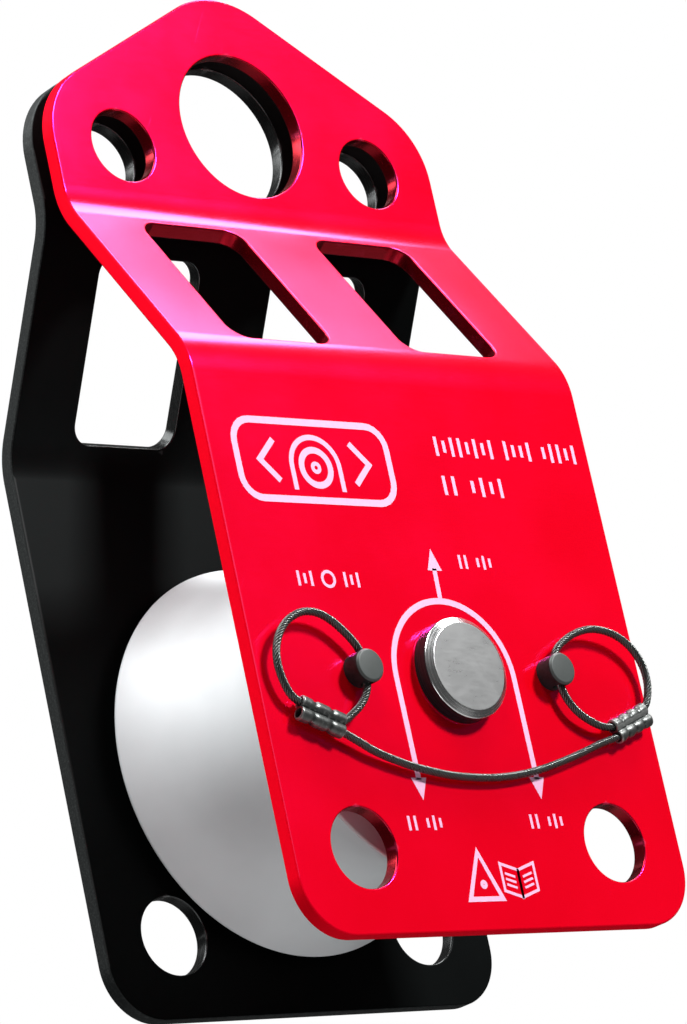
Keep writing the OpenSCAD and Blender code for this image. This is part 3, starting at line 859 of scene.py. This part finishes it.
# Each route is (x, height above the plate, z) in millimetres, with x and z from the axle.
LEFT_LOOP = [
    (-53.6, 2.6, -6.4), (-55.1, 2.8, -3.2), (-55.8, 3.0, 0.6), (-55.2, 3.2, 4.6),
    (-53.2, 3.4, 8.2), (-49.9, 3.5, 11.0), (-45.7, 3.5, 12.6), (-41.4, 3.4, 12.5),
    (-37.4, 3.1, 10.9), (-34.0, 2.9, 8.3), (-31.6, 2.8, 5.8), (-30.3, 2.7, 3.4),
    (-30.0, 2.7, 0.0), (-30.2, 2.7, -3.4), (-31.4, 2.7, -6.4), (-33.6, 2.6, -8.9),
    (-36.4, 2.5, -10.9),
]
RIGHT_LOOP = [
    (57.9, 2.6, -6.8), (59.1, 2.8, -2.6), (58.6, 3.0, 1.6), (56.2, 3.2, 5.6),
    (52.4, 3.4, 8.4), (48.0, 3.5, 9.9), (43.4, 3.4, 10.3), (38.8, 3.1, 9.4),
    (34.8, 2.9, 7.6), (31.8, 2.8, 5.6), (30.3, 2.7, 3.4), (30.0, 2.7, 0.0),
    (30.2, 2.7, -3.4), (31.3, 2.7, -6.8), (33.6, 2.7, -9.8), (37.0, 2.6, -12.0),
    (40.8, 2.5, -13.4),
]
LANYARD = [
    (-36.4, 2.2, -17.1), (-32.6, 2.0, -19.0), (-28.4, 1.8, -20.6), (-24.0, 1.7, -22.0),
    (-19.4, 1.6, -23.2), (-14.6, 1.6, -24.2), (-9.6, 1.6, -25.0), (-4.6, 1.6, -25.4),
    (0.6, 1.6, -25.6), (5.8, 1.6, -25.5), (11.0, 1.6, -25.0), (16.2, 1.6, -24.2),
    (21.2, 1.6, -23.1), (26.2, 1.7, -21.8), (31.0, 1.8, -20.4), (35.6, 2.0, -18.9),
    (39.8, 2.2, -17.5),
]


def from_plate(x, h, z):
    """A point h above the red plate's outer face, with x and z from the axle."""
    return on_axle(x, -CHEEK_OUT - h, z)


def barrel_end(ferrule, along, barrel, deeper=0.0):
    """The middle of a barrel's mouth, or a point deeper inside the barrel."""
    x, z, turn = ferrule
    a = math.radians(turn)
    run = along * (FERRULE_L / 2 - deeper)
    off = barrel * BARREL_OFFSET
    return from_plate(
        x * MM + run * math.cos(a) - off * math.sin(a),
        FERRULE_H,
        z * MM + run * math.sin(a) + off * math.cos(a),
    )


def smooth_line(points, spacing):
    """A Catmull-Rom line through the points, with even spacing."""
    line = []
    for i in range(len(points) - 1):
        p0, p1 = points[max(i - 1, 0)], points[i]
        p2, p3 = points[i + 1], points[min(i + 2, len(points) - 1)]
        for k in range(24):
            t = k / 24
            line.append(0.5 * (2 * p1 + (p2 - p0) * t + (2 * p0 - 5 * p1 + 4 * p2 - p3) * t * t
                               + (3 * p1 - p0 - 3 * p2 + p3) * t**3))
    line.append(points[-1])
    lengths = [0.0]
    for a, b in zip(line, line[1:]):
        lengths.append(lengths[-1] + (b - a).length)
    count = max(2, round(lengths[-1] / spacing))
    even, j = [], 0
    for i in range(count + 1):
        want = lengths[-1] * i / count
        while j < len(line) - 2 and lengths[j + 1] < want:
            j += 1
        share = (want - lengths[j]) / max(1e-12, lengths[j + 1] - lengths[j])
        even.append(line[j].lerp(line[j + 1], min(1.0, share)))
    return even


def tube(bm, centres, radius, sides):
    """A closed round tube along a list of centres, each with its own two cross directions."""
    rings = []
    for centre, across, above in centres:
        ring = []
        for k in range(sides):
            a = 2 * math.pi * k / sides
            ring.append(bm.verts.new(centre + radius * (math.cos(a) * across + math.sin(a) * above)))
        rings.append(ring)
    skin(bm, rings)


def wire_rope(name, line, body, replaced):
    """A laid wire rope along a line: a core and eight outer strands that wind round it."""
    frames = []
    for i, p in enumerate(line):
        ahead, behind = line[min(i + 1, len(line) - 1)], line[max(i - 1, 0)]
        along = (ahead - behind).normalized()
        across = Vector((0, 1, 0)).cross(along).normalized()
        frames.append((p, across, along.cross(across)))
    helix_r = WIRE_R - STRAND_R
    bm = bmesh.new()
    tube(bm, frames, helix_r - 0.4 * STRAND_R, 10)
    spacing = (line[1] - line[0]).length
    for w in range(STRANDS):
        strand = []
        for i, (p, across, above) in enumerate(frames):
            a = 2 * math.pi * (w / STRANDS + i * spacing / LAY)
            strand.append((p + helix_r * (math.cos(a) * across + math.sin(a) * above), across, above))
        tube(bm, strand, STRAND_R, 6)
    return finish_piece(name, bm, [WIRE], body, replaced, 75)


def rope_line(start, middle, end):
    """The line of a wire from one barrel to another. Each of start and end is a ferrule,
    its end and its barrel."""
    points = [barrel_end(*start, 3 * MM), barrel_end(*start)]
    points += [from_plate(x * MM, h * MM, z * MM) for x, h, z in middle]
    points += [barrel_end(*end), barrel_end(*end, 3 * MM)]
    return smooth_line(points, 0.45 * MM)


def loops():
    """The loop through each pin's head."""
    line = rope_line((LEFT_FERRULE, -1, UPPER), LEFT_LOOP, (LEFT_FERRULE, 1, UPPER))
    wire_rope("left_loop_rope", line, "left_pin", ["left_wire_loop"])
    line = rope_line((RIGHT_FERRULE, 1, UPPER), RIGHT_LOOP, (RIGHT_FERRULE, -1, UPPER))
    wire_rope("right_loop_rope", line, "right_pin", ["right_wire_loop"])


def lanyard():
    """The stretch between the ferrules, in two halves that meet in the middle. Neither half
    is attached to a body."""
    start, end = (LEFT_FERRULE, 1, LOWER), (RIGHT_FERRULE, -1, LOWER)
    line = rope_line(start, LANYARD, end)
    middle = len(line) // 2
    left = wire_rope("left_lanyard_rope", line[middle::-1], None, ["lanyard_wire"])
    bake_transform(left)
    right = wire_rope("right_lanyard_rope", line[middle:], None, ["lanyard_wire"])
    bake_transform(right)


def ferrule(name, place, body, crimps):
    """A double-barrelled sleeve with crimped waists and open mouths. Each crimp is a place
    along the sleeve, from -0.5 to 0.5."""
    x, z, turn = place
    a = math.radians(turn)
    along = Vector((math.cos(a), 0, math.sin(a)))
    up = Vector((-math.sin(a), 0, math.cos(a)))
    out = Vector((0, -1, 0))
    middle = from_plate(x * MM, FERRULE_H, z * MM)
    sides, stations = 48, 56
    bm = bmesh.new()

    def ring(t, grow):
        """One lobed section: two circles side by side, with a soft waist between them."""
        verts = []
        for k in range(sides):
            b = 2 * math.pi * k / sides
            lift, depth = math.cos(b), math.sin(b)
            reach = BARREL_OFFSET * abs(lift)
            r = reach + math.sqrt(max(0.0, BARREL_R**2 - BARREL_OFFSET**2 * depth**2))
            verts.append(bm.verts.new(middle + along * t + (up * lift + out * depth) * r * grow))
        return verts

    rings = []
    for i in range(stations + 1):
        t = -0.5 + i / stations
        pinch = sum(math.exp(-(((t - c) / 0.055) ** 2)) for c in crimps)
        lip = min(1.0, (0.5 - abs(t)) * FERRULE_L / (0.25 * MM))
        grow = (1 - 0.13 * min(1.0, pinch)) * (0.90 + 0.10 * math.sqrt(lip))
        rings.append(ring(t * FERRULE_L, grow))
    skin(bm, rings)
    bores = bmesh.new()
    turn_to = along.to_track_quat("Z", "Y").to_matrix().to_4x4()
    for barrel in (UPPER, LOWER):
        for end in (-1, 1):
            at = middle + up * barrel * BARREL_OFFSET + along * end * FERRULE_L / 2
            add_drill(bores, Matrix.Translation(at) @ turn_to, FERRULE_BORE_R, 5.6 * MM, 24)
    bm = cut_with(bm, bores)
    return finish_piece(name + "_sleeve", bm, [FERRULE], body, [name], 35)


# ---- White print on the red plate ----

INK_T = 0.04 * MM


def printed(bm, rows, closed):
    """Joins rows of (left, right) points into one thin raised band. Points are in
    millimetres from the axle."""
    rings = []
    for a, b in rows:
        corners = [(a, INK_T), (b, INK_T), (b, -INK_T), (a, -INK_T)]
        rings.append([bm.verts.new(from_plate(p[0] * MM, h, p[1] * MM)) for p, h in corners])
    skin(bm, rings, closed)


def stroke(bm, points, width, closed=False):
    """A printed line of even width."""
    n, rows = len(points), []
    for i in range(n):
        here = Vector(points[i])
        ahead = Vector(points[(i + 1) % n]) - here
        behind = here - Vector(points[i - 1])
        if not closed and i == 0:
            behind = ahead
        if not closed and i == n - 1:
            ahead = behind
        n1 = Vector((-behind.y, behind.x)).normalized()
        n2 = Vector((-ahead.y, ahead.x)).normalized()
        mid = (n1 + n2).normalized()
        reach = mid * width / 2 / max(0.5, mid.dot(n1))
        rows.append((here + reach, here - reach))
    printed(bm, rows, closed)


def arrow_head(bm, tip, direction, length, width):
    """A solid triangle: a band that narrows to nearly nothing at its tip."""
    way = Vector(direction)
    side = Vector((-way.y, way.x))
    back = Vector(tip) - way * length
    printed(bm, [(back + side * width / 2, back - side * width / 2),
                 (Vector(tip) + side * 0.05, Vector(tip) - side * 0.05)], False)


def ring_mark(bm, x, z, r, width):
    stroke(bm, circle(x, z, r, 40), width, closed=True)


def box_mark(bm, x, z, w, h, r, width):
    """An outline of a rounded box."""
    corners = [(1, -1, -90), (1, 1, 0), (-1, 1, 90), (-1, -1, 180)]
    loop = []
    for sx, sz, a in corners:
        loop += arc(x + sx * (w / 2 - r), z + sz * (h / 2 - r), r, a, a + 90, 15)
    stroke(bm, loop, width, closed=True)


def tick_row(bm, x0, z, heights, pitch, width):
    """A row of upright bars, each with its own height."""
    for i, h in enumerate(heights):
        if h:
            x = x0 + i * pitch
            stroke(bm, [(x, z - h / 2), (x, z + h / 2)], width)


def load_arrows(bm):
    """The rope's two legs and its arch round the axle, and the load's arrow above it."""
    arch_r, arch_z, leg_end = 18.4, -0.9, -25.5
    arch = arc(0, arch_z, arch_r, 180, 0, 5)
    stroke(bm, [(-arch_r, leg_end)] + arch + [(arch_r, leg_end)], 1.5)
    for x in (-arch_r, arch_r):
        arrow_head(bm, (x, -30.2), (0, -1), 5.2, 4.6)
    stroke(bm, [(0.6, 18.2), (0.8, 25.5)], 1.3)
    arrow_head(bm, (0.9, 30.2), (0, 1), 5.2, 4.4)
    for x, z in ((9.5, 27.4), (-24.2, -35.6), (13.6, -35.6)):
        tick_row(bm, x, z, (3.4, 3.4, 0, 2.2, 3.4, 2.2), 1.9, 0.75)


def badge(bm, x, wheel_z):
    """A plain wheel with a rope over it, between two angle marks in a rounded frame."""
    box_mark(bm, x, wheel_z + 1.5, 46, 19, 5.5, 1.7)
    ring_mark(bm, x, wheel_z, 4.3, 1.6)
    ring_mark(bm, x, wheel_z, 1.0, 1.0)
    over = arc(x, wheel_z + 0.2, 7.2, 180, 0, 8)
    stroke(bm, [(x - 7.2, wheel_z - 5.6)] + over + [(x + 7.2, wheel_z - 5.6)], 1.3)
    for side in (LEFT, RIGHT):
        near, far = x + side * 11.5, x + side * 16.5
        stroke(bm, [(near, wheel_z - 3.6), (far, wheel_z + 1.4), (near, wheel_z + 6.4)], 1.5)


def bar_rows(bm):
    """Rows of bars instead of lettering, and a rope's cross section between two of them."""
    long_row = (4.8, 3, 4.8, 4.8, 3, 4.8, 3, 4.8, 0, 4.8, 3, 3, 4.8, 0, 3, 4.8, 4.8, 3, 4.8)
    tick_row(bm, 10.2, 56.2, long_row, 2.5, 0.95)
    tick_row(bm, 10.2, 46.4, (4.8, 4.8, 0, 3, 4.8, 3, 4.8), 3.0, 1.0)
    rope_x, rope_z = -32.6, 22.0
    ring_mark(bm, rope_x, rope_z, 1.8, 0.75)
    for side in (LEFT, RIGHT):
        tick_row(bm, rope_x + side * 7 - 1.9, rope_z, (3.6, 2.4, 3.6), 1.9, 0.75)


def booklet(bm, x, triangle_x):
    """An open booklet beside a plain triangle with a dot in it."""
    corners = [(triangle_x - 5, -53.6), (triangle_x + 5, -53.6), (triangle_x, -42.6)]
    stroke(bm, corners, 1.2, closed=True)
    ring_mark(bm, triangle_x, -50.2, 0.6, 0.9)
    for side in (LEFT, RIGHT):
        outer = x + side * 5.2
        stroke(bm, [(x, -53.4), (outer, -51.8), (outer, -45.4), (x, -47.0)], 0.7, closed=True)
        for k in range(3):
            z = -48.6 - 1.3 * k
            stroke(bm, [(x + side * 1.2, z), (x + side * 4.2, z + 0.9)], 0.55)


def print_marks():
    """Everything printed on the red plate, as one piece."""
    bm = bmesh.new()
    load_arrows(bm)
    badge(bm, -29, 49.0)
    bar_rows(bm)
    booklet(bm, 5.8, -5.6)
    finish_piece("white_print", bm, [INK], "front_plate")


# ---- Camera, light and floor ----


def camera():
    """The photograph's view: from the lower left of the red plate, with the camera rolled."""
    azimuth, elevation, roll = math.radians(-43.66), math.radians(-16.45), math.radians(12.32)
    distance = 1.031
    aim = Vector((-3.6 * MM, -15.8 * MM, -104.0 * MM))
    level = math.cos(elevation)
    back = Vector((math.sin(azimuth) * level, -math.cos(azimuth) * level, math.sin(elevation)))
    data = bpy.data.cameras.new("camera")
    data.lens = 154.45
    data.sensor_width = 36
    data.clip_start, data.clip_end = 0.05, 50
    obj = bpy.data.objects.new("camera", data)
    bpy.context.scene.collection.objects.link(obj)
    obj.rotation_mode = "QUATERNION"
    upright = (-back).to_track_quat("-Z", "Y")
    obj.rotation_quaternion = upright @ Matrix.Rotation(-roll, 3, "Z").to_quaternion()
    obj.location = aim + back * distance
    bpy.context.scene.camera = obj


def softbox(name, toward, distance, size, power):
    """A rectangular area light in one direction from the pulley, which the camera can't see."""
    data = bpy.data.lights.new(name, "AREA")
    data.shape = "RECTANGLE"
    data.size, data.size_y = size
    data.energy = power
    obj = bpy.data.objects.new(name, data)
    bpy.context.scene.collection.objects.link(obj)
    way = Vector(toward).normalized()
    obj.location = Vector((0, -20 * MM, -100 * MM)) + way * distance
    obj.rotation_mode = "QUATERNION"
    obj.rotation_quaternion = (-way).to_track_quat("-Z", "Y")
    obj.visible_camera = False


def surround():
    """A world that is white to the camera and dim to the object, so the softboxes shape it."""
    world = bpy.data.worlds.new("studio")
    bpy.context.scene.world = world
    world.use_nodes = True
    tree = world.node_tree
    background = tree.nodes["Background"]
    path = tree.nodes.new("ShaderNodeLightPath")
    strength = tree.nodes.new("ShaderNodeMapRange")
    strength.inputs["To Min"].default_value = 0.06
    strength.inputs["To Max"].default_value = 1.0
    tree.links.new(path.outputs["Is Camera Ray"], strength.inputs["Value"])
    tree.links.new(strength.outputs[0], background.inputs["Strength"])
    background.inputs["Color"].default_value = (1, 1, 1, 1)


def floor():
    """A pale round floor far below the pulley."""
    mesh = bpy.data.meshes.new("floor")
    disc = bmesh.new()
    bmesh.ops.create_circle(disc, cap_ends=True, segments=96, radius=2.4,
                            matrix=Matrix.Translation((0, 0, -2.3)))
    disc.to_mesh(mesh)
    disc.free()
    pale = Shader("pale_floor", metallic=0.0)
    pale.color(pale.mix(pale.noise(3, 3), rgb(0.90, 0.90, 0.90), rgb(0.94, 0.94, 0.94)))
    pale.rough(pale.ramp(pale.noise(8, 3), 0.3, 0.7, 0.65, 0.75))
    mesh.materials.append(pale.material)
    obj = bpy.data.objects.new("floor", mesh)
    bpy.context.scene.collection.objects.link(obj)


def studio():
    softbox("key", (0.38, -0.76, 0.52), 1.5, (0.22, 0.22), 30)
    softbox("sheen", (0.46, -0.16, 0.87), 1.5, (0.50, 0.60), 13)
    softbox("top", (-0.34, -0.46, 0.80), 1.5, (0.50, 0.50), 4)
    softbox("left", (-0.34, -0.03, 0.94), 1.5, (0.80, 0.80), 34)
    softbox("rear", (-0.55, 0.42, 0.72), 1.5, (0.80, 0.80), 18)
    softbox("low", (-0.75, -0.30, -0.60), 1.6, (0.80, 0.80), 3.5)
    surround()
    floor()


# ---- Build ----

SLOT_MATERIALS = {
    "red_anodised": RED, "black_anodised": BLACK,
    "sheave_aluminium": SILVER, "axle_steel": AXLE_STEEL,
    "bearing_steel": BEARING_STEEL, "ball_steel": BALL_STEEL, "spring_steel": SPRING_STEEL,
    "bronze": BRONZE, "cage_brass": CAGE_BRASS, "black_rubber": RUBBER, "pin_steel": AXLE_STEEL,
    "wire_rope": WIRE, "ferrule_metal": FERRULE,
}


def dress_cad_nodes():
    """Gives each CAD node the finish of its material slot."""
    for part in frame["record"]["subparts"]:
        node = frame["nodes"][part["node"]]
        material = SLOT_MATERIALS[part["material_slot"]]
        if node.material_slots:
            for slot in node.material_slots:
                slot.material = material
        else:
            node.data.materials.append(material)


camera()
loops()
lanyard()
dress_cad_nodes()
pin_holes = [circle(side * PIN_X, 0, PIN_BORE_R, 48) for side in (LEFT, RIGHT)]
side_plate("front_plate", FRONT, [RED, RED_EDGE, RED_BORE_SHADE], pin_holes)
side_plate("rear_plate", REAR, [BLACK, BLACK_EDGE, BLACK_BORE])
sheave()
axle()
rear_collar()
lock_pin("left_lock_pin", LEFT)
lock_pin("right_lock_pin", RIGHT)
ferrule("left_ferrule", LEFT_FERRULE, "left_pin", [-0.22, 0.18])
ferrule("right_ferrule", RIGHT_FERRULE, "right_pin", [-0.27, -0.01, 0.25])
print_marks()
studio()
bpy.context.scene.view_settings.view_transform = "Standard"

bpy.context.view_layer.update()
